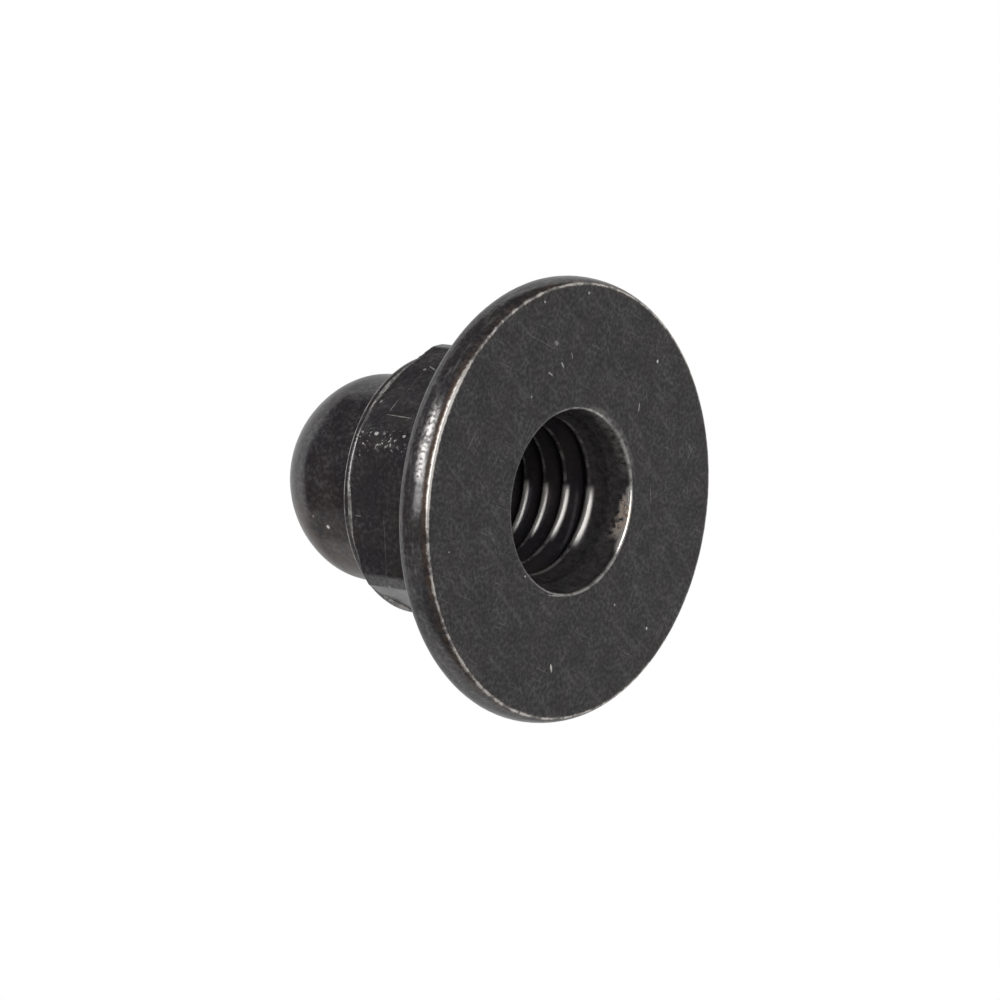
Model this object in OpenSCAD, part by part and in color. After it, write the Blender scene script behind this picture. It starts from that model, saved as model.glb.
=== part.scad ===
// Flanged cap nut: a broad flange, a hexagon and a domed cap, forged and tapped as one piece.
// The bearing face lies on z = 0, the cap points up, and all sizes are in millimetres.

/* [Thread and bore] */
// Nominal diameter of the internal thread
thread_d = 10; // [8:0.5:11]
// Pitch of the thread
thread_pitch = 1.5; // [1:0.05:2]
// Solid metal between the tip of the drilled bore and the top of the crown
crown_wall = 3.2; // [1.5:0.1:5]
// Included angle of the drilled tip
drill_angle = 118; // [90:1:140]

/* [Entry] */
// How much wider than the thread the entry opens on the bearing face
entry_over = 0.77; // [0.4:0.01:1.6]
// Depth over which the entry tapers down to the thread
entry_depth = 4.6; // [2:0.1:7]
// Radius that breaks the edge of the mouth
mouth_r = 0.3; // [0.1:0.05:0.6]

/* [Flange] */
// Largest diameter of the flange
flange_d = 26; // [23:0.5:34]
// Height of the largest diameter above the bearing face
rim_z = 1.24; // [0.8:0.02:1.6]
// How far the rim rounds in from the largest diameter down to the bearing face
rim_in = 0.47; // [0.2:0.01:1]
// How far the rim rounds in from the largest diameter up to the back
back_in = 0.69; // [0.2:0.01:1.2]
// Height of that rounding at the back
back_h = 1.04; // [0.6:0.02:1.6]
// Slope of the back of the flange, measured from the bearing face
back_slope = 18; // [8:1:24]

/* [Hexagon] */
// Distance across the flats
hex_af = 15; // [14:0.1:19]
// How much the blunting takes off the distance across the corners
corner_cut = 0.48; // [0.1:0.02:1]
// Height of the end of the hexagon above the bearing face
hex_top = 10.92; // [8.5:0.02:15]
// Angle of the chamfer on the corners, measured from the end face
chamfer_angle = 42; // [25:1:50]
// How far the round collar on the end stands out past the flats
collar_out = 0.2; // [0.02:0.01:0.3]
// Height of the collar
collar_h = 0.4; // [0.1:0.01:0.6]

/* [Cap] */
// Wall of the cap outside the thread's nominal diameter
cap_wall = 1.2; // [0.8:0.05:1.3]
// Height of the cap above the end of the hexagon
cap_h = 9.08; // [8:0.02:13]
// How much larger the radius of the crown is than that of the straight part
crown_over = 0.23; // [0.1:0.01:1.5]
// Radius of the shoulder between the crown and the straight part
shoulder_r = 4; // [2:0.1:5]
// Radius of the fillet where the cap leaves the hexagon
root_r = 0.4; // [0.1:0.05:0.8]

/* [Hidden] */
$fn = 96;
black_oxide = [0.16, 0.15, 0.16];
// Overlap that lets one cut pass another
pass = 1;
// By the metric thread's form, the minor diameter is this many pitches under the nominal one
minor_per_pitch = 1.0825;
minor_r = (thread_d - minor_per_pitch * thread_pitch) / 2;

// The drill's cone stops short of the crown, and its full diameter ends lower still
total_h = hex_top + cap_h;
tip_z = total_h - crown_wall;
drilled_z = tip_z - minor_r / tan(drill_angle / 2);

// The mouth's round touches the bearing face and the tapered entry
entry_r = (thread_d + entry_over) / 2;
entry_half_angle = atan((entry_r - minor_r) / entry_depth);
mouth_x = entry_r + mouth_r * (1 / cos(entry_half_angle) - tan(entry_half_angle));
mouth_touch_x = mouth_x - mouth_r * cos(entry_half_angle);
mouth_touch_z = mouth_r * (1 - sin(entry_half_angle));

// Both roundings of the rim are quarter ellipses, and the sloped back touches the upper one
flange_r = flange_d / 2;
face_r = flange_r - rim_in;
back_r = flange_r - back_in;
back_turn = atan(back_h / (back_in * tan(back_slope)));
back_touch_x = back_r + back_in * cos(back_turn);
back_touch_z = rim_z + back_h * sin(back_turn);
back_axis_z = back_touch_z + back_touch_x * tan(back_slope);

// The chamfer falls from the foot of the collar to the blunted corners
hex_corners = hex_af / cos(30);
corner_r = (hex_corners - corner_cut) / 2;
collar_r = hex_af / 2 + collar_out;
collar_z = hex_top - collar_h;
corner_z = collar_z - (corner_r - collar_r) * tan(chamfer_angle);

// The shoulder's arc touches the crown from inside and the straight part of the cap
cap_r = thread_d / 2 + cap_wall;
crown_r = cap_r + crown_over;
crown_z = total_h - crown_r;
shoulder_x = cap_r - shoulder_r;
shoulder_angle = acos(shoulder_x / (crown_r - shoulder_r));
shoulder_z = crown_z + (crown_r - shoulder_r) * sin(shoulder_angle);
crown_reach = 2 * crown_r;

// Half section of the flange, with its rounded rim and sloped back
module flange_section() {
    intersection() {
        translate([face_r, rim_z]) scale([rim_in, rim_z]) circle(r = 1);
        square([flange_r + pass, rim_z]);
    }
    intersection() {
        translate([back_r, rim_z]) scale([back_in, back_h]) circle(r = 1);
        translate([0, rim_z]) square([flange_r + pass, back_h + pass]);
    }
    square([face_r, rim_z]);
    polygon([[0, 0], [back_r, 0], [back_touch_x, back_touch_z], [0, back_axis_z]]);
}

// Half section of the turned envelope that blunts and chamfers the corners
module corner_section() {
    polygon([[0, 0], [corner_r, 0], [corner_r, corner_z], [collar_r, collar_z], [0, hex_top]]);
}

// Half section of the cap, from inside the hexagon to the top of the crown
module cap_section() {
    translate([0, collar_z]) square([cap_r, shoulder_z - collar_z]);
    intersection() {
        translate([shoulder_x, shoulder_z]) circle(r = shoulder_r);
        translate([0, shoulder_z - pass]) square([cap_r + pass, crown_r]);
    }
    intersection() {
        translate([0, crown_z]) circle(r = crown_r);
        polygon([[0, crown_z],
                 [crown_reach * cos(shoulder_angle), crown_z + crown_reach * sin(shoulder_angle)],
                 [0, crown_z + crown_reach]]);
    }
}

// Half section of the fillet around the foot of the cap
module root_section() {
    difference() {
        translate([cap_r - pass, hex_top - pass]) square(root_r + pass);
        translate([cap_r + root_r, hex_top + root_r]) circle(r = root_r);
    }
}

// Half section of the drilled bore and of its tapered, rounded entry
module bore_section() {
    polygon([[0, 0], [minor_r, 0], [minor_r, drilled_z], [0, tip_z]]);
    polygon([[0, mouth_touch_z], [mouth_touch_x, mouth_touch_z], [minor_r, entry_depth],
             [0, entry_depth]]);
    difference() {
        polygon([[0, -pass], [mouth_x, -pass], [mouth_x, mouth_r],
                 [mouth_touch_x, mouth_touch_z], [0, mouth_touch_z]]);
        translate([mouth_x, mouth_r]) circle(r = mouth_r);
    }
}

module flange() {
    rotate_extrude() flange_section();
}

// Each flat ends in a curve where the chamfer's cone crosses it, below the round collar
module hexagon() {
    intersection() {
        translate([0, 0, rim_z]) rotate([0, 0, 30]) cylinder(h = hex_top, d = hex_corners, $fn = 6);
        rotate_extrude() corner_section();
    }
    translate([0, 0, collar_z]) cylinder(h = collar_h, r = collar_r);
}

module cap() {
    rotate_extrude() cap_section();
    rotate_extrude() root_section();
}

module bore() {
    rotate_extrude() bore_section();
}

module lock_nut() {
    color(black_oxide) difference() {
        union() {
            flange();
            hexagon();
            cap();
        }
        bore();
    }
}

lock_nut();
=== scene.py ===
from math import acos, atan, atan2, cos, degrees, hypot, pi, radians, sin, tan
from types import SimpleNamespace

import bmesh
import bpy
from mathutils import Matrix, Vector
from mathutils.bvhtree import BVHTree


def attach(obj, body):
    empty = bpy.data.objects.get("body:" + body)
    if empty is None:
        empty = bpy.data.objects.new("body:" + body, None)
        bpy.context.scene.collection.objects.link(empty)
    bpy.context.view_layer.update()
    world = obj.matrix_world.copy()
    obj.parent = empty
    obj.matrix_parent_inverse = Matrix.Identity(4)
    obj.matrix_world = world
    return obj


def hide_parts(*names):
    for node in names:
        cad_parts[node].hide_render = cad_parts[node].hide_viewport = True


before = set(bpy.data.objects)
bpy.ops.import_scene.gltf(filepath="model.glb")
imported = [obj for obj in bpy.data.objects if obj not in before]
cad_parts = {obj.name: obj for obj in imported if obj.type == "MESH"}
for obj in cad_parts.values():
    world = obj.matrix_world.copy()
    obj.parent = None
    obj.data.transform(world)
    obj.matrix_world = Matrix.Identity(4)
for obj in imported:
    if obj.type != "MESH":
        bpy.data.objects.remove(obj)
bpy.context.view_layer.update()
print("frame loaded")

mm = 0.001

# the camera's place and its three directions, as measured
view = {
    "place": Vector((-0.21590, -0.05976, -0.18389)),
    "right": Vector((0.65145, 0.04715, -0.7572)),
    "up": Vector((0.18579, -0.97761, 0.0990)),
    "forward": Vector((0.73563, 0.20515, 0.6456)),
    "lens": 180.7,
    "sensor": 36.0,
    "pixels": 1000,
}

# the nut's outside, in millimetres, with its bearing face on z = 0
nutShape = {
    "threadD": 10.0,
    "minorR": 4.188,
    "entryOver": 0.77,  # how much wider than the thread the entry opens
    "entryDepth": 4.6,
    "mouthR": 0.3,
    "flangeR": 13.0,
    "rimZ": 1.24,
    "rimIn": 0.47,
    "backIn": 0.69,
    "backH": 1.04,
    "backSlope": radians(18),
    "flatR": 7.5,
    "cornerR": 8.42,
    "hexTop": 10.92,
    "chamfer": radians(42),
    "collarR": 7.7,
    "collarH": 0.4,
    "collarEdge": 0.02,  # how far the collar's two edges are broken
    "capR": 6.2,
    "capH": 9.08,
    "crownR": 6.43,
    "shoulderR": 4.0,
    "rootR": 0.4,
    "flangeRootR": 0.35,
    "cornerSoft": 0.05,
    "chamferSoft": 0.04,
}

# heights, radii and turns of the rows of the spun mesh, close together where it bends
nutRows = {
    "entryZ": (1.1, 0.7),
    "mouthSteps": 7,
    "faceR": (5.8, 6.6, 8.0, 9.5, 11.0, 12.0, 12.35),
    "rimTurn": (0, 8, 16, 24, 32, 40, 50, 60, 70, 80, 90),
    "backTurn": (12, 24, 36, 48, 58, 66, 72, 77.8),
    "backR": (12.0, 11.0, 10.0, 9.3),
    "footTurn": (252, 236, 220, 204, 190, 180),
    "flatZ": (4.6, 6.0, 8.0, 9.3),
    "chamferZ": 9.7,
    "chamferSteps": 24,
    "endR": (7.2, 6.7),
    "rootSteps": 5,
    "capZ": (12.4, 13.6),
    "shoulderSteps": 6,
    "crownSteps": 18,
    # one sixth of a turn as degrees and steps, finest along the hexagon's edges
    "sixth": ((24, 8), (2, 2), (2.5, 10), (3, 3), (2.5, 10), (2, 2), (24, 8)),
    "merge": 0.002,
}

# the helical thread inside it
threadShape = {
    "pitch": 1.5,
    "majorR": 5.03,
    # half of the groove: distance from its middle, and height over the minor radius
    "groove": ((0.0, 0.842), (0.02, 0.812), (0.18, 0.572), (0.3, 0.4), (0.4, 0.275),
               (0.5, 0.165), (0.58, 0.093), (0.64, 0.045), (0.69, 0.012)),
    "crestZ": 2.78,  # height of one of the crests at crestTurn
    "crestTurn": radians(10.76),
    "leastDepth": 0.05,
    "sharpest": 3.5,
    "stepsPerTurn": 120,
    "turns": 11,
    "startZ": 1.25,
    "fadeFrom": 11.2,
    "endZ": 13.2,
    "plainZ": 13.35,
    "drilledZ": 14.28,
    "tipZ": 16.8,
    "merge": 0.004,
}


def softMin(a, b, soft):
    h = max(soft - abs(a - b), 0.0) / soft
    return min(a, b) - h * h * soft / 4


def arcPoints(centre, radius, start, end, count):
    # points on an arc, angles in degrees from +r, both ends included
    points = []
    for i in range(count + 1):
        a = radians(start + (end - start) * i / count)
        points.append((centre[0] + radius * cos(a), centre[1] + radius * sin(a)))
    return points


def entryRadius(z):
    s = nutShape
    top = (s["threadD"] + s["entryOver"]) / 2
    return top - (top - s["minorR"]) * z / s["entryDepth"]


def hexRadius(turn):
    # distance of the hexagon's side from the axis, with its corners blunted
    s = nutShape
    sixth = (turn + pi / 6) % (pi / 3) - pi / 6
    return softMin(s["flatR"] / cos(sixth), s["cornerR"], s["cornerSoft"])


def backHeight(r):
    # height of the flange's sloped back
    s = nutShape
    turn = atan(s["backH"] / (s["backIn"] * tan(s["backSlope"])))
    touchR = s["flangeR"] - s["backIn"] + s["backIn"] * cos(turn)
    touchZ = s["rimZ"] + s["backH"] * sin(turn)
    return touchZ + (touchR - r) * tan(s["backSlope"])


def nutProfile():
    # half section from the entry out over the flange and up to the crown; a third value says
    # how a point follows the hexagon: 0 not at all, 1 on its foot at that angle, 2 on its sides
    s, m = nutShape, nutRows
    rows = []

    def add(points, follows=0):
        rows.extend((r, z, follows) for r, z in points)

    half = atan((entryRadius(0) - s["minorR"]) / s["entryDepth"])
    mouthX = entryRadius(0) + s["mouthR"] * (1 / cos(half) - tan(half))
    add([(entryRadius(z), z) for z in m["entryZ"]])
    add(arcPoints((mouthX, s["mouthR"]), s["mouthR"], 180 + degrees(half), 270, m["mouthSteps"]))
    add([(r, 0.0) for r in m["faceR"]])

    faceR, backR = s["flangeR"] - s["rimIn"], s["flangeR"] - s["backIn"]
    add([(faceR + s["rimIn"] * sin(radians(t)), s["rimZ"] * (1 - cos(radians(t))))
         for t in m["rimTurn"]])
    add([(backR + s["backIn"] * cos(radians(t)), s["rimZ"] + s["backH"] * sin(radians(t)))
         for t in m["backTurn"]])
    add([(r, backHeight(r)) for r in m["backR"]])

    add([(t, 0.0) for t in m["footTurn"]], 1)
    add([(s["flatR"], z) for z in m["flatZ"]], 2)
    top, edge, collarR = s["hexTop"], s["collarEdge"], s["collarR"]
    collarZ = top - s["collarH"]
    rise = (collarZ - edge / 2 - m["chamferZ"]) / m["chamferSteps"]
    add([(s["flatR"], m["chamferZ"] + rise * i) for i in range(m["chamferSteps"] + 1)], 2)
    add([(collarR - edge, collarZ), (collarR, collarZ + 1.5 * edge),
         (collarR, top - 3.5 * edge), (collarR - edge, top - edge), (collarR - 3.5 * edge, top)])

    add([(r, top) for r in m["endR"]])
    add(arcPoints((s["capR"] + s["rootR"], top + s["rootR"]), s["rootR"], 270, 180,
                  m["rootSteps"]))
    crownZ = top + s["capH"] - s["crownR"]
    inner = s["crownR"] - s["shoulderR"]
    shoulderX = s["capR"] - s["shoulderR"]
    shoulderTurn = acos(shoulderX / inner)
    shoulderZ = crownZ + inner * sin(shoulderTurn)
    add([(s["capR"], z) for z in m["capZ"]])
    add(arcPoints((shoulderX, shoulderZ), s["shoulderR"], 0, degrees(shoulderTurn),
                  m["shoulderSteps"]))
    add(arcPoints((0.0, crownZ), s["crownR"], degrees(shoulderTurn), 90, m["crownSteps"])[1:])
    return rows


def spinProfile(bm, rows):
    # a chain of edges spun round the axis in uneven steps; each vertex remembers its row
    rowOf = bm.verts.layers.int.new("row")
    last = []
    for number, (r, z, follows) in enumerate(rows):
        vert = bm.verts.new((r, 0.0, z))
        vert[rowOf] = number
        last.append(vert)
    last += [bm.edges.new(pair) for pair in zip(last, last[1:])]
    for angle, steps in nutRows["sixth"] * 6:
        made = bmesh.ops.spin(bm, geom=last, cent=(0, 0, 0), axis=(0, 0, 1),
                              angle=radians(angle), steps=steps)
        last = made["geom_last"]
    return rowOf


def shapeHexagon(bm, rows, rowOf):
    # the rows on the hexagon and at its foot leave the circle that they were spun on
    s = nutShape
    collarZ = s["hexTop"] - s["collarH"]
    for vert in bm.verts:
        r, z, follows = rows[vert[rowOf]]
        if not follows:
            continue
        turn = atan2(vert.co.y, vert.co.x)
        side = hexRadius(turn)
        if follows == 1:
            turnUp = radians(r)
            rootR = side + s["flangeRootR"]
            rootZ = backHeight(rootR) + s["flangeRootR"] / cos(s["backSlope"])
            newR = rootR + s["flangeRootR"] * cos(turnUp)
            newZ = rootZ + s["flangeRootR"] * sin(turnUp)
        else:
            cone = s["collarR"] + (collarZ - z) / tan(s["chamfer"])
            newR = softMin(side, cone, s["chamferSoft"])
            newZ = z
        vert.co = (newR * cos(turn), newR * sin(turn), newZ)


def threadOutline():
    # one pitch of the thread, its groove in the middle and half a crest at each end
    s, minorR = threadShape, nutShape["minorR"]
    half = [(minorR + rise, z) for z, rise in s["groove"]] + [(minorR, s["pitch"] / 2)]
    return [(r, -z) for r, z in reversed(half[1:])] + half


def cutRadius(r, z):
    # the groove fades out where the tap ended, and the entry's cone cuts the crests down,
    # which keeps their slope as long as they aren't too low
    s, minorR = threadShape, nutShape["minorR"]
    full = s["majorR"] - minorR
    lowR = max(minorR, min(entryRadius(z), s["majorR"] - s["leastDepth"]))
    depth = s["majorR"] - lowR
    down = min(max((s["majorR"] - r) / full, 0.0), 1.0)
    newR = s["majorR"] - depth * down ** min(full / depth, s["sharpest"])
    fade = min(max((s["endZ"] - z) / (s["endZ"] - s["fadeFrom"]), 0.0), 1.0)
    return max(lowR + (newR - lowR) * fade, entryRadius(z))


def makeThread():
    # the outline is wound up the bore and cut off level at both ends
    s = threadShape
    bm = bmesh.new()
    base = s["crestZ"] - 2.5 * s["pitch"] - s["pitch"] * s["crestTurn"] / (2 * pi)
    last = [bm.verts.new((r, 0.0, base + z)) for r, z in threadOutline()]
    last += [bm.edges.new(pair) for pair in zip(last, last[1:])]
    bmesh.ops.spin(bm, geom=last, cent=(0, 0, 0), axis=(0, 0, 1),
                   angle=2 * pi * s["turns"], steps=s["stepsPerTurn"] * s["turns"],
                   dvec=(0, 0, s["pitch"] / s["stepsPerTurn"]))
    bmesh.ops.remove_doubles(bm, verts=bm.verts[:], dist=s["merge"])
    for vert in bm.verts:
        r = hypot(vert.co.x, vert.co.y)
        vert.co.xy *= cutRadius(r, vert.co.z) / r
    for height, side in ((s["startZ"], -1), (s["endZ"], 1)):
        geom = bm.verts[:] + bm.edges[:] + bm.faces[:]
        bmesh.ops.bisect_plane(bm, geom=geom, dist=1e-5, plane_co=(0, 0, height),
                               plane_no=(0, 0, side), clear_outer=True)
    return bm


def openLoop(bm, low, high):
    # the open border whose points all lie between two heights
    return [e for e in bm.edges if e.is_boundary and all(low < v.co.z < high for v in e.verts)]


def meshObject(bm, name):
    bmesh.ops.scale(bm, vec=(mm, mm, mm), verts=bm.verts[:])
    mesh = bpy.data.meshes.new(name)
    bm.to_mesh(mesh)
    bm.free()
    obj = bpy.data.objects.new(name, mesh)
    bpy.context.scene.collection.objects.link(obj)
    return obj


def makeOutside():
    bm = bmesh.new()
    rows = nutProfile()
    rowOf = spinProfile(bm, rows)
    shapeHexagon(bm, rows, rowOf)
    return bm


def makeDrilledEnd():
    # the plain end of the bore above the thread, and the drill's cone
    s, minorR = threadShape, nutShape["minorR"]
    bm = bmesh.new()
    spinProfile(bm, [(minorR, s["plainZ"], 0), (minorR, s["drilledZ"], 0),
                     (minorR / 2, (s["drilledZ"] + s["tipZ"]) / 2, 0), (0.0, s["tipZ"], 0)])
    return bm


def makeNut():
    s = threadShape
    bm = makeThread()
    for part in (makeOutside(), makeDrilledEnd()):
        part.verts.layers.int.remove(part.verts.layers.int["row"])
        bmesh.ops.remove_doubles(part, verts=part.verts[:], dist=nutRows["merge"])
        passing = bpy.data.meshes.new("passing")
        part.to_mesh(passing)
        part.free()
        bm.from_mesh(passing)
        bpy.data.meshes.remove(passing)
    # the thread's two open ends are joined to the entry and to the plain end of the bore
    spare = 0.04
    for low, high in ((nutRows["entryZ"][0], s["startZ"]), (s["endZ"], s["plainZ"])):
        bmesh.ops.bridge_loops(bm, edges=openLoop(bm, low - spare, high + spare))
    bmesh.ops.recalc_face_normals(bm, faces=bm.faces[:])
    for face in bm.faces:
        face.smooth = True
    loose = [e for e in bm.edges if not e.is_manifold]
    print(f"nut: {len(bm.faces)} faces, {len(loose)} open edges")
    return meshObject(bm, "nutBody")


nut = makeNut()
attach(nut, "root")
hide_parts("lock_nut")


# black-oxide steel, its colours linear and its lengths in millimetres
blackOxide = {
    "base": (0.0128, 0.0117, 0.0135),
    "pale": (0.036, 0.0336, 0.0360),
    "brown": (0.075, 0.047, 0.030),
    "tan": (0.62, 0.44, 0.32),
    "scuff": (0.15, 0.145, 0.14),
    # bright bare metal, also the colour of the painted highlights
    "bareAndHighlight": (0.80, 0.77, 0.73),
    "metallic": 0.2,
    "bareAndHighlightMetallic": 0.85,
    "roughness": (0.16, 0.27),
    "bareAndHighlightRoughness": 0.30,
    "sheen": (0.65, 1.3),
    "cloudSheen": (0.42, 0.56),
    "boreSheen": 0.04,
    "bump": 0.12,
    "bumpDepth": 0.03,
    # patterns: how many in a millimetre, their detail and roughness
    "grain": (1 / 0.24, 2, 0.5),
    "cloud": (1 / 1.6, 3, 0.6),
    "mottle": (2.6, 4, 0.75),
    "gaps": (1.1, 4, 0.7),
    "flecks": (4.5, 2, 0.6),
    "tint": (0.45, 3, 0.6),
    # layers of streaks: their turn, length and width, and how rare they are
    "smears": ((0.0, 0.0, 0.9), 3.0, 0.5, 0.6),
    "scratches": (
        ((0.0, 0.0, 0.5), 2.6, 0.075, 0.69),
        ((0.0, 0.0, 1.4), 1.4, 0.070, 0.69),
        ((0.0, 0.0, 2.3), 3.2, 0.075, 0.70),
    ),
    # how strong each of them is
    "tintAmount": 0.07,
    "smearAmount": 0.10,
    "scratchAmount": 0.75,
    "greyHexagon": 0.037,
    "greyCap": 0.005,
    "greyEntry": 0.18,
    # strength of the painted reflection on the cap's lower side
    "lowerCapReflectionAmount": 0.42,
    "fringeAmount": 0.7,
}

# where the coat is worn, and where highlights are painted on as bright bare metal: turns in
# degrees about the axis and lengths in millimetres; a pair runs from where the wear begins to
# where it is full, or from the least of it to the most
wearAndHighlightPlaces = {
    "edgeOut": 0.09,  # middle of the bare edge, outside the flat of the bearing face
    "edgeReach": (0.07, 0.14),
    "edgeZ": (0.34, 0.0),
    "edgeAmount": (0.12, 0.6),
    "brightTurn": ((-128.0, -140.0), (-180.0, -168.0)),
    "brightReach": 0.05,
    "brightAmount": 0.9,
    "fringeOut": 0.16,
    "fringeReach": (0.30, 0.1),
    "fringeZ": (0.5, 0.1),
    # the painted highlight on the outside of the rim
    "patchTurn": ((-165.5, -162.0), (-141.0, -150.0)),
    "patchZ": (0.72, 0.42),  # middle and reach
    "patchR": (12.4, 12.6),
    "patchAmount": 0.35,
    "rimR": (11.6, 12.2),
    "rimZ": (1.0, 1.3),  # middle and reach
    "rimStreaks": (0.16, 2.6),  # in a degree of turn, and in a millimetre of height
    "rimAmount": 0.28,
    # the mouth's line, whose bright stretch is a painted highlight
    "mouthTurn": ((-2.0, 5.0), (50.0, 36.0)),
    "mouthR": (5.42, 5.36),  # of the thin line, then of its bright stretch
    "mouthReach": (0.11, 0.17),
    "mouthZ": (0.5, 0.1),
    "mouthAmount": (0.15, 0.45),
    # the bright tan patch inside the entry
    "tanPatchTurn": ((5.0, 13.0), (40.0, 16.0)),
    "tanPatchZ": (0.85, 1.4),  # how far in it reaches, at its two ends
    "tanPatchAmount": 1.1,
    "tanPatchTint": 0.8,
    "lipTurn": -38.0,
    "lipReach": (40.0, 18.0),
    "lipZ": (0.9, 0.3),
    "lipR": (5.9, 5.5),
    "lipAmount": (0.1, 0.8),
    "crestDepth": (0.19, 0.07),
    "crestZ": ((2.25, 2.45), (13.0, 12.5)),
    # the turns of the crests' painted highlight
    "crestHighlightTurn": ((1.0, 8.0), (52.0, 38.0)),
    "crestHighlightAmount": 0.36,
    "tipDepth": (0.07, 0.02),
    "tipAmount": (0.02, 0.10),
    "dullZ": (1.4, 2.4),
    "endLineReach": 0.09,
    "footLineReach": 0.07,
    "endAmount": (0.12, 0.4),
    "cornerTurn": (-150.0, 7.0),  # middle and reach
    "cornerZ": ((3.5, 5.0), (10.9, 10.4)),
    "cornerAmount": 0.5,
}

# single marks, each placed by the two pixels of the camera's view that its ends lie in, with
# its half width in millimetres and its strength
marks = {
    "faceRightChip": ((657, 360), (657, 362), 0.10, 0.8),
    "faceRightScrape": ((639, 403), (638, 411), 0.07, 0.4),
    "aboveMouthLeft": ((552, 375), (548, 372), 0.06, 0.4),
    "aboveMouthMiddle": ((563, 367), (561, 362), 0.08, 0.5),
    "aboveMouthRight": ((571, 352), (572, 358), 0.04, 0.4),
    "upperFaceBlotch": ((555, 342), (557, 343), 0.18, 0.25),
    "upperFaceSpeck": ((531, 396), (531, 397), 0.08, 0.35),
    "topEdgeLeft": ((544, 301), (545, 302), 0.09, 0.5),
    "topEdgeRight": ((588, 292), (589, 293), 0.09, 0.5),
    "belowMouthNick": ((550, 664), (551, 672), 0.09, 0.8),
    "belowMouthSpeck": ((614, 604), (614, 605), 0.08, 0.6),
    "lowerRightChip": ((646, 629), (646, 627), 0.09, 0.7),
    "faceLeftSpeck": ((448, 552), (449, 552), 0.07, 0.4),
    "mouthLowSpeck": ((524, 576), (525, 576), 0.08, 0.6),
    "mouthLowScrape": ((548, 595), (560, 596), 0.05, 0.35),
    "mouthRightScrape": ((650, 485), (650, 500), 0.04, 0.2),
    "cornerChip": ((375, 433), (377, 433), 0.14, 0.9),
    "cornerFootChip": ((403, 436), (404, 436), 0.11, 0.8),
    "cornerSpeck": ((381, 443), (382, 443), 0.07, 0.5),
    "cornerEndSpeck": ((362, 443), (363, 443), 0.07, 0.5),
    "upperFlatEndSpeck": ((379, 402), (382, 400), 0.07, 0.35),
    "upperFlatFootSpeck": ((423, 369), (425, 369), 0.08, 0.4),
    "upperFlatLine": ((386, 414), (412, 418), 0.045, 0.28),
    "upperFlatScratch": ((389, 411), (397, 400), 0.045, 0.2),
    "upperFlatEndLine": ((386, 414), (428, 366), 0.03, 0.05),
    "upperFlatTick": ((429, 366), (435, 370), 0.06, 0.35),
    "leftFlatLine": ((383, 515), (386, 576), 0.03, 0.07),
    "leftFlatTick": ((355, 515), (360, 516), 0.05, 0.2),
    "leftFlatSpeck": ((359, 454), (359, 455), 0.07, 0.25),
    "lowCornerSpeck": ((388, 586), (390, 587), 0.10, 0.25),
    "capChip": ((327, 526), (328, 527), 0.13, 0.9),
    "capSpeck": ((312, 515), (313, 517), 0.09, 0.25),
}


def newMaterial(name):
    material = bpy.data.materials.new(name)
    material.use_nodes = True
    material.node_tree.nodes.clear()
    return material


class Graph:
    # short ways to add and join shader nodes
    def __init__(self, tree):
        self.tree = tree

    def add(self, kind, **settings):
        node = self.tree.nodes.new(kind)
        for key, value in settings.items():
            setattr(node, key, value)
        return node

    def join(self, source, target):
        self.tree.links.new(source, target)

    def put(self, socket, value):
        if isinstance(value, bpy.types.NodeSocket):
            self.join(value, socket)
        else:
            socket.default_value = value

    def math(self, operation, a, b=0.0):
        node = self.add("ShaderNodeMath", operation=operation)
        for socket, value in zip(node.inputs, (a, b)):
            self.put(socket, value)
        return node.outputs[0]

    def ramp(self, value, low, high, outLow=0.0, outHigh=1.0):
        node = self.add("ShaderNodeMapRange", interpolation_type="SMOOTHSTEP")
        for socket, item in zip(node.inputs, (value, low, high, outLow, outHigh)):
            self.put(socket, item)
        return node.outputs[0]

    def noise(self, coords, scale, detail=2.0, rough=0.5, distortion=0.0):
        node = self.add("ShaderNodeTexNoise")
        self.join(coords, node.inputs["Vector"])
        node.inputs["Scale"].default_value = scale
        node.inputs["Detail"].default_value = detail
        node.inputs["Roughness"].default_value = rough
        node.inputs["Distortion"].default_value = distortion
        return node.outputs["Fac"]

    def mix(self, factor, a, b):
        node = self.add("ShaderNodeMix", data_type="RGBA")
        factorIn, aIn, bIn = node.inputs[0], node.inputs[6], node.inputs[7]
        self.put(factorIn, factor)
        self.put(aIn, (*a, 1.0) if isinstance(a, tuple) else a)
        self.put(bIn, (*b, 1.0) if isinstance(b, tuple) else b)
        return node.outputs[2]

    def blendValue(self, factor, a, b):
        node = self.add("ShaderNodeMix", data_type="FLOAT")
        for socket, value in zip(node.inputs[:1] + node.inputs[2:4], (factor, a, b)):
            self.put(socket, value)
        return node.outputs[0]

    def times(self, first, *others):
        for other in others:
            first = self.math("MULTIPLY", first, other)
        return first

    def most(self, first, *others):
        for other in others:
            first = self.math("MAXIMUM", first, other)
        return first

    def band(self, value, rise, fall):
        # 1 between two limits, each given as where it begins and where it is full
        return self.times(self.ramp(value, *rise), self.ramp(value, *fall))

    def apart(self, value, target):
        return self.math("ABSOLUTE", self.math("SUBTRACT", value, target))

    def near(self, value, target, reach):
        # 1 where value is at target, falling to 0 at reach from it
        return self.ramp(self.apart(value, target), reach, 0.0)


def scratchLayer(g, coords, turn, length, width, rarity):
    # thin streaks that all lie one way: noise stretched along them and cut off high
    mapping = g.add("ShaderNodeMapping", vector_type="TEXTURE")
    g.join(coords, mapping.inputs["Vector"])
    mapping.inputs["Rotation"].default_value = turn
    mapping.inputs["Scale"].default_value = (length, width, length)
    streaks = g.noise(mapping.outputs[0], 1.0, 1.0, 0.5, 0.2)
    return g.ramp(streaks, rarity, rarity + 0.06)


def nutSurface():
    mesh = nut.data
    return BVHTree.FromPolygons([v.co for v in mesh.vertices],
                                [p.vertices for p in mesh.polygons])


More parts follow.
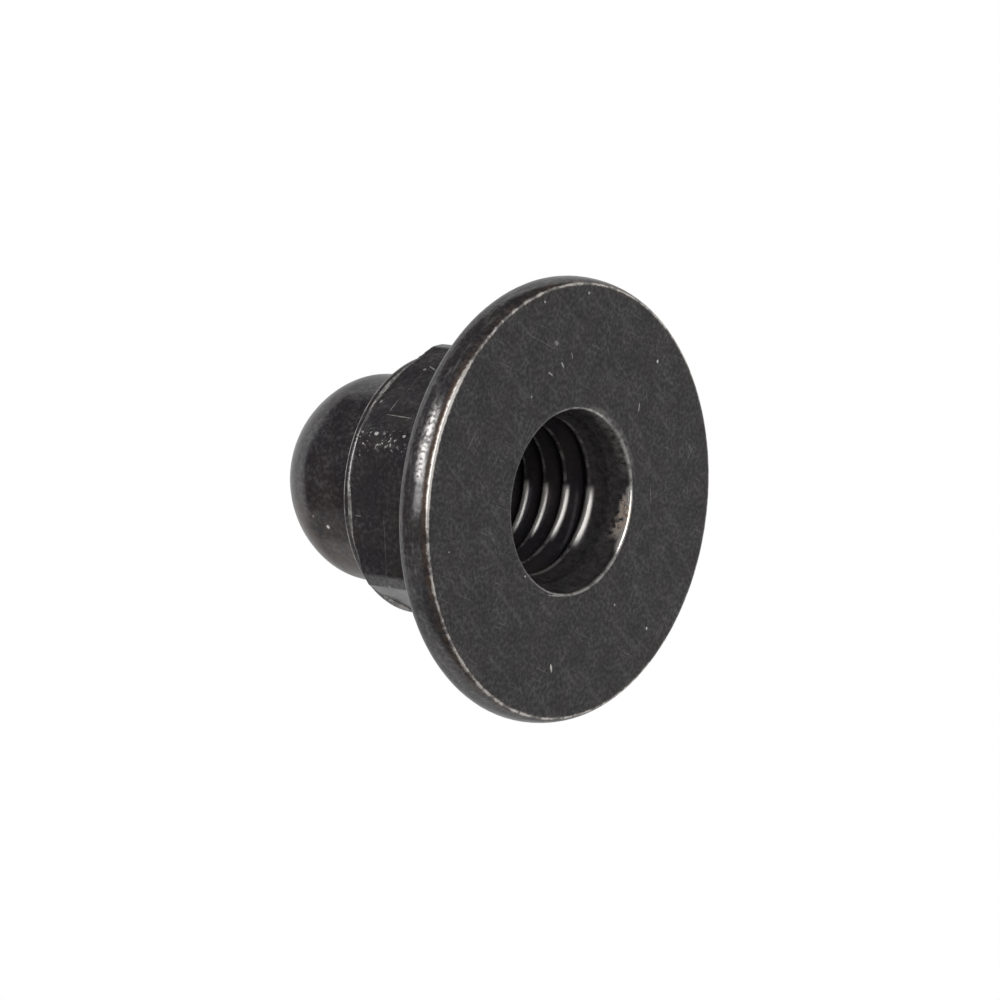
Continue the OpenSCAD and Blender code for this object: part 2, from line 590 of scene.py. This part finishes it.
def seenAt(surface, pixel):
    # the point of the nut, in millimetres, that lies in the middle of a pixel
    perPixel = view["sensor"] / view["lens"] / view["pixels"]
    right, down = ((place + 0.5 - view["pixels"] / 2) * perPixel for place in pixel)
    ray = view["forward"] + view["right"] * right - view["up"] * down
    return surface.ray_cast(view["place"], ray.normalized())[0] / mm


def markLayer(g, at):
    # each single mark is a thin ellipse, found from the distances to its two ends
    surface = nutSurface()
    total = None
    for start, end, halfWidth, strength in marks.values():
        ends = seenAt(surface, start), seenAt(surface, end)
        gaps = []
        for point in ends:
            gap = g.add("ShaderNodeVectorMath", operation="DISTANCE")
            g.join(at.place, gap.inputs[0])
            gap.inputs[1].default_value = point
            gaps.append(gap.outputs["Value"])
        length = (ends[1] - ends[0]).length
        mark = g.ramp(g.math("ADD", *gaps), hypot(length, 2 * halfWidth),
                      hypot(length, halfWidth), 0.0, strength)
        total = mark if total is None else g.most(total, mark)
    return g.times(total, g.ramp(at.grain, 0.3, 0.6, 0.45, 0.9))


def surfaceSockets(g):
    # the shaded point in millimetres, its distance from the axis and its turn in degrees, and
    # the patterns that several kinds of wear share
    m = blackOxide
    at = SimpleNamespace()
    scaled = g.add("ShaderNodeVectorMath", operation="SCALE")
    g.join(g.add("ShaderNodeTexCoord").outputs["Object"], scaled.inputs[0])
    scaled.inputs["Scale"].default_value = 1 / mm
    at.place = scaled.outputs[0]
    split = g.add("ShaderNodeSeparateXYZ")
    g.join(at.place, split.inputs[0])
    x, at.y, at.z = split.outputs
    at.r = g.math("SQRT", g.math("ADD", g.times(x, x), g.times(at.y, at.y)))
    at.turn = g.math("DEGREES", g.math("ARCTAN2", at.y, x))
    at.grain = g.noise(at.place, *m["grain"])
    at.cloud = g.noise(at.place, *m["cloud"])
    at.mottle = g.noise(at.place, *m["mottle"])
    at.broken = g.ramp(g.noise(at.place, *m["gaps"]), 0.40, 0.60)
    at.bore = g.times(g.ramp(at.r, 5.5, 5.1), g.ramp(at.z, 16.9, 16.7))
    return at


def coatColour(g, at):
    m = blackOxide
    # a fine pale grain in soft cloudy patches, plainer in the bore
    pale = g.times(g.ramp(at.grain, 0.42, 0.72), g.ramp(at.cloud, 0.3, 0.7, 0.35, 1.0),
                   g.ramp(at.bore, 0.0, 1.0, 1.0, 0.25))
    colour = g.mix(pale, m["base"], m["pale"])
    tint = g.ramp(g.noise(at.place, *m["tint"]), 0.35, 0.65, 0.0, m["tintAmount"])
    colour = g.mix(tint, colour, m["brown"])

    # greyer above the bearing face and in the entry, and smeared on the face
    outer = g.ramp(at.z, 11.0, 12.0, m["greyHexagon"], m["greyCap"])
    entry = g.ramp(at.z, 1.8, 3.4, m["greyEntry"], 0.0)
    grey = g.times(g.ramp(at.bore, 0.0, 1.0, outer, entry), g.ramp(at.z, 0.1, 0.5),
                   g.ramp(at.mottle, 0.35, 0.65, 0.3, 1.3))
    smears = g.times(scratchLayer(g, at.place, *m["smears"]),
                     g.ramp(at.z, 0.0, 0.5, m["smearAmount"], 0.0))
    colour = g.mix(g.most(grey, smears), colour, m["scuff"])

    # painted reflection: the lower side of the cap is made lighter and browner, in place of the
    # pale floor it reflects
    lowerCapReflection = g.times(g.ramp(at.z, 11.0, 12.0), g.ramp(at.y, -1.5, 4.0),
                   g.ramp(at.cloud, 0.3, 0.6), m["lowerCapReflectionAmount"])
    return g.mix(lowerCapReflection, colour, m["brown"])


def faceScratches(g, at):
    m = blackOxide
    layers = [scratchLayer(g, at.place, *layer) for layer in m["scratches"]]
    return g.times(g.most(*layers), g.ramp(at.cloud, 0.3, 0.65, 0.15, 0.8),
                   g.ramp(at.z, 0.0, 0.3, m["scratchAmount"], 0.0),
                   g.ramp(at.bore, 0.0, 1.0, 1.0, 0.0))


def faceEdge(g, at):
    # bare metal along the edge of the bearing face, bright on one side, with a brown fringe
    w = wearAndHighlightPlaces
    faceR = nutShape["flangeR"] - nutShape["rimIn"]
    bright = g.band(at.turn, *w["brightTurn"])
    reach = g.math("ADD", g.times(bright, w["brightReach"]),
                   g.ramp(at.mottle, 0.4, 0.62, *w["edgeReach"]))
    edge = g.ramp(g.apart(at.r, faceR + w["edgeOut"]), reach, 0.02)
    keep = g.most(g.ramp(at.broken, 0.0, 1.0, *w["edgeAmount"]),
                  g.times(bright, w["brightAmount"]))
    fringe = g.ramp(g.apart(at.r, faceR + w["fringeOut"]), *w["fringeReach"])
    return (g.times(edge, g.ramp(at.z, *w["edgeZ"]), keep),
            g.times(fringe, g.ramp(at.z, *w["fringeZ"]), keep))


def rimHighlightPatch(g, at):
    # painted highlight: a bright bare-metal patch on the outside of the rim, where it reflects a
    # softbox
    w = wearAndHighlightPlaces
    return g.times(g.near(at.z, *w["patchZ"]), g.band(at.turn, *w["patchTurn"]),
                   g.ramp(at.r, *w["patchR"]),
                   g.ramp(at.grain, 0.3, 0.65, 0.0, w["patchAmount"]))


def rimStreaks(g, at):
    # streaks of wear that run along the rim
    w = wearAndHighlightPlaces
    along = g.add("ShaderNodeCombineXYZ")
    for socket, value, scale in zip(along.inputs, (at.turn, at.z), w["rimStreaks"]):
        g.join(g.times(value, scale), socket)
    return g.times(g.ramp(g.noise(along.outputs[0], 1.0, 3, 0.65), 0.50, 0.68),
                   g.ramp(at.r, *w["rimR"]), g.near(at.z, *w["rimZ"]), w["rimAmount"])


def mouthWearAndHighlight(g, at):
    # a thin broken line of wear round the mouth, with a painted highlight where it is wide and
    # bright on one side, and a bright tan patch beside it
    w = wearAndHighlightPlaces
    # painted highlight: the line is widened and made bright over one span of turn
    bright = g.band(at.turn, *w["mouthTurn"])
    mouthLineAndHighlight = g.times(g.near(at.r, g.ramp(bright, 0.0, 1.0, *w["mouthR"]),
                          g.ramp(bright, 0.0, 1.0, *w["mouthReach"])),
                   g.ramp(at.z, *w["mouthZ"]),
                   g.most(g.ramp(at.broken, 0.0, 1.0, *w["mouthAmount"]), bright))
    # a bright tan patch of metal inside the entry, over about the same turns as the mouth's
    # bright stretch
    tanPatchEnd = g.ramp(at.turn, 16.0, 34.0, *w["tanPatchZ"])
    tanPatch = g.times(g.band(at.turn, *w["tanPatchTurn"]), g.ramp(at.z, tanPatchEnd, 0.3),
                    g.ramp(at.r, 5.5, 5.4),
                    g.ramp(at.mottle, 0.42, 0.60, 0.0, w["tanPatchAmount"]))
    return mouthLineAndHighlight, tanPatch


def mouthLip(g, at):
    # rubbed pale just inside the mouth, on the upper side
    w = wearAndHighlightPlaces
    return g.times(g.ramp(g.apart(at.turn, w["lipTurn"]), *w["lipReach"]),
                   g.ramp(at.z, *w["lipZ"]), g.ramp(at.r, *w["lipR"]),
                   g.ramp(at.mottle, 0.36, 0.62, *w["lipAmount"]))


def threadWearAndHighlight(g, at):
    # crests of the thread, worn bare at their tips and given a painted highlight over one span
    # of turn, and the dull rest of the bore
    w, s = wearAndHighlightPlaces, nutShape
    slope = (entryRadius(0) - s["minorR"]) / s["entryDepth"]
    cone = g.math("SUBTRACT", entryRadius(0), g.times(at.z, slope))
    depth = g.math("SUBTRACT", at.r, g.most(cone, s["minorR"]))
    land = g.times(g.ramp(depth, *w["crestDepth"]), g.band(at.z, *w["crestZ"]))
    # painted highlight: bright bare metal on the crests only over the turns where the light
    # catches them
    crestHighlight = g.band(at.turn, *w["crestHighlightTurn"])
    tip = g.times(g.ramp(depth, *w["tipDepth"]),
                  g.ramp(at.broken, 0.0, 1.0, *w["tipAmount"]))
    crest = g.times(land, g.most(g.times(crestHighlight, w["crestHighlightAmount"]), tip))
    dull = g.times(at.bore, g.ramp(at.z, *w["dullZ"]),
                   g.math("SUBTRACT", 1.0, g.times(land, crestHighlight)))
    return crest, dull


def hexagonWear(g, at):
    # two thin lines round the hexagon's end, and flecks along one of its corners
    w, s = wearAndHighlightPlaces, nutShape
    endLine = g.times(g.near(at.z, s["hexTop"] - 0.03, w["endLineReach"]),
                      g.ramp(at.r, 7.5, 7.6))
    footLine = g.times(g.near(at.z, s["hexTop"] - s["collarH"], w["footLineReach"]),
                       g.ramp(at.r, 7.4, 7.5))
    lines = g.times(g.most(endLine, footLine), g.ramp(at.broken, 0.0, 1.0, *w["endAmount"]))
    flecks = g.ramp(g.noise(at.place, *blackOxide["flecks"]), 0.60, 0.72)
    corner = g.times(g.near(at.turn, *w["cornerTurn"]), g.band(at.z, *w["cornerZ"]), flecks,
                     w["cornerAmount"])
    return g.most(lines, corner)


def makeBlackOxide():
    m = blackOxide
    material = newMaterial("blackOxideSteel")
    g = Graph(material.node_tree)
    at = surfaceSockets(g)

    # the coat, then what is rubbed into it, then bare metal and painted highlights
    scratches = faceScratches(g, at)
    colour = g.mix(scratches, coatColour(g, at), m["scuff"])
    colour = g.mix(rimStreaks(g, at), colour, m["scuff"])
    colour = g.mix(mouthLip(g, at), colour, m["scuff"])
    edge, fringe = faceEdge(g, at)
    mouthLineAndHighlight, tanPatch = mouthWearAndHighlight(g, at)
    crest, dull = threadWearAndHighlight(g, at)
    marked = markLayer(g, at)
    bareAndHighlight = g.most(edge, rimHighlightPatch(g, at), mouthLineAndHighlight, tanPatch, crest, hexagonWear(g, at), marked)
    colour = g.mix(g.times(fringe, m["fringeAmount"]), colour, m["brown"])
    colour = g.mix(bareAndHighlight, colour, m["bareAndHighlight"])
    colour = g.mix(g.times(tanPatch, wearAndHighlightPlaces["tanPatchTint"]), colour, m["tan"])

    shader = g.add("ShaderNodeBsdfPrincipled")
    g.join(colour, shader.inputs["Base Color"])
    g.join(g.blendValue(bareAndHighlight, m["metallic"], m["bareAndHighlightMetallic"]), shader.inputs["Metallic"])
    rough = g.ramp(at.cloud, 0.3, 0.7, *m["roughness"])
    g.join(g.blendValue(bareAndHighlight, rough, m["bareAndHighlightRoughness"]), shader.inputs["Roughness"])
    sheen = g.times(g.ramp(at.grain, 0.25, 0.75, *m["sheen"]),
                    g.ramp(at.cloud, 0.3, 0.7, *m["cloudSheen"]),
                    g.ramp(dull, 0.0, 1.0, 1.0, m["boreSheen"]))
    g.join(sheen, shader.inputs["Specular IOR Level"])
    bump = g.add("ShaderNodeBump")
    bump.inputs["Strength"].default_value = m["bump"]
    bump.inputs["Distance"].default_value = m["bumpDepth"] * mm
    dents = g.math("ADD", scratches, g.times(marked, 2.0))
    g.join(g.math("SUBTRACT", g.math("ADD", at.grain, at.cloud), dents), bump.inputs["Height"])
    g.join(bump.outputs[0], shader.inputs["Normal"])
    g.join(shader.outputs[0], g.add("ShaderNodeOutputMaterial").inputs["Surface"])
    return material


nut.data.materials.append(makeBlackOxide())
print("nut finished")


# lamps and cards are placed by the camera's right, up and forward, in metres from the nut
studio = {
    "worldFill": 0.6,
    "floorColour": (0.86, 0.86, 0.86, 1.0),
    "floorSize": 1.6,
    "floorFade": (0.05, 0.20),
    "cards": {
        "rightWall": ((1.0, 0.0, -0.25), (0, 1.0, 0), (0, 0, 0.75), 0.68),
        "leftWall": ((-1.0, 0.28, -0.3), (0, 0.72, 0), (0, 0, 0.7), 0.02),
        "topWall": ((0, 1.0, -0.17), (1.0, 0, 0), (0, 0, 0.83), 0.02),
        "frontWall": ((0, 0, -1.0), (1.0, 0, 0), (0, 1.0, 0), 0.02),
        "lowWall": ((0, -1.0, -0.5), (1.0, 0, 0), (0, 0, 0.5), 0.1),
        "leftLow": ((-1.0, -0.72, 0.0), (0, 0.28, 0), (0, 0, 0.9), 0.6),
        "backWall": ((0, 0, 1.1), (1.3, 0, 0), (0, 1.3, 0), 0.6),
    },
    "lamps": {
        "leftBox": ((-0.70, 0.26, -0.57), (0.42, 0.80), 8.6, True),
        "frontBox": ((0.156, 0.218, -0.879), (0.35, 1.06), 6.0, True),
        "backBox": ((-0.72, 0.09, 0.61), (0.8, 0.8), 4.0, False),
    },
}


def makeWorld():
    # seen as white by the camera and in reflections, and softer as fill light
    world = bpy.data.worlds.new("studio")
    bpy.context.scene.world = world
    world.use_nodes = True
    g = Graph(world.node_tree)
    world.node_tree.nodes.clear()
    path = g.add("ShaderNodeLightPath")
    seen = g.math("MAXIMUM", path.outputs["Is Camera Ray"], path.outputs["Is Glossy Ray"])
    seen = g.math("MAXIMUM", seen, path.outputs["Is Transmission Ray"])
    background = g.add("ShaderNodeBackground")
    g.join(g.ramp(seen, 0.0, 1.0, studio["worldFill"], 1.0), background.inputs["Strength"])
    background.inputs["Color"].default_value = (1, 1, 1, 1)
    g.join(background.outputs[0], g.add("ShaderNodeOutputWorld").inputs["Surface"])


def makeFloor():
    # a pale floor that is only seen from above, catches the shadow and fades out into white
    bm = bmesh.new()
    bmesh.ops.create_grid(bm, x_segments=1, y_segments=1, size=studio["floorSize"] / 2)
    bmesh.ops.translate(bm, vec=(0, 0, -0.00002), verts=bm.verts[:])
    mesh = bpy.data.meshes.new("floor")
    bm.to_mesh(mesh)
    bm.free()
    floor = bpy.data.objects.new("floor", mesh)
    bpy.context.scene.collection.objects.link(floor)
    material = newMaterial("paleFloor")
    g = Graph(material.node_tree)
    matt = g.add("ShaderNodeBsdfDiffuse")
    matt.inputs["Color"].default_value = studio["floorColour"]
    clear = g.add("ShaderNodeBsdfTransparent")
    mixed = g.add("ShaderNodeMixShader")
    away = g.add("ShaderNodeVectorMath", operation="LENGTH")
    g.join(g.add("ShaderNodeTexCoord").outputs["Object"], away.inputs[0])
    fade = g.ramp(away.outputs["Value"], *studio["floorFade"])
    under = g.add("ShaderNodeNewGeometry").outputs["Backfacing"]
    g.join(g.math("MAXIMUM", fade, under), mixed.inputs["Fac"])
    g.join(matt.outputs[0], mixed.inputs[1])
    g.join(clear.outputs[0], mixed.inputs[2])
    g.join(mixed.outputs[0], g.add("ShaderNodeOutputMaterial").inputs["Surface"])
    mesh.materials.append(material)
    floor.visible_diffuse = False
    floor.visible_glossy = False
    floor.visible_transmission = False
    floor.visible_shadow = False


def makeLamp(name, place, size, power, reflected):
    # a softbox aimed at the nut, upright in the camera's view
    data = bpy.data.lights.new(name, "AREA")
    data.shape = "RECTANGLE"
    data.size, data.size_y = size
    data.energy = power
    lamp = bpy.data.objects.new(name, data)
    bpy.context.scene.collection.objects.link(lamp)
    back = place.normalized()
    across = view["up"].cross(back).normalized()
    turn = Matrix((across, back.cross(across), back)).transposed().to_4x4()
    lamp.matrix_world = Matrix.Translation(place) @ turn
    lamp.visible_camera = False
    lamp.visible_glossy = reflected


def makeCard(name, centre, halfWidth, halfHeight, level):
    # a wall of the studio that only reflections see
    bm = bmesh.new()
    bmesh.ops.create_grid(bm, x_segments=1, y_segments=1, size=1.0)
    across, along = inView(*halfWidth), inView(*halfHeight)
    turn = Matrix((across, along, across.cross(along).normalized())).transposed().to_4x4()
    bmesh.ops.transform(bm, matrix=Matrix.Translation(inView(*centre)) @ turn, verts=bm.verts[:])
    mesh = bpy.data.meshes.new(name)
    bm.to_mesh(mesh)
    bm.free()
    card = bpy.data.objects.new(name, mesh)
    bpy.context.scene.collection.objects.link(card)
    material = newMaterial(name)
    g = Graph(material.node_tree)
    glow = g.add("ShaderNodeEmission")
    glow.inputs["Color"].default_value = (level, level, level, 1.0)
    g.join(glow.outputs[0], g.add("ShaderNodeOutputMaterial").inputs["Surface"])
    mesh.materials.append(material)
    card.visible_camera = False
    card.visible_diffuse = False
    card.visible_shadow = False
    card.visible_transmission = False


def inView(right, up, forward):
    # a point given in the camera's directions from the nut
    return view["right"] * right + view["up"] * up + view["forward"] * forward


def makeCamera():
    data = bpy.data.cameras.new("camera")
    data.lens = view["lens"]
    data.sensor_width = view["sensor"]
    data.clip_start = 0.01
    data.clip_end = 20.0
    camera = bpy.data.objects.new("camera", data)
    turn = Matrix((view["right"], view["up"], -view["forward"])).transposed().to_4x4()
    camera.matrix_world = Matrix.Translation(view["place"]) @ turn
    bpy.context.scene.collection.objects.link(camera)
    bpy.context.scene.camera = camera


makeWorld()
makeFloor()
makeCamera()
bpy.context.scene.view_settings.view_transform = "Standard"
for name, (centre, halfWidth, halfHeight, level) in studio["cards"].items():
    makeCard(name, centre, halfWidth, halfHeight, level)
for name, (place, size, power, reflected) in studio["lamps"].items():
    makeLamp(name, inView(*place), size, power, reflected)
print("studio finished")
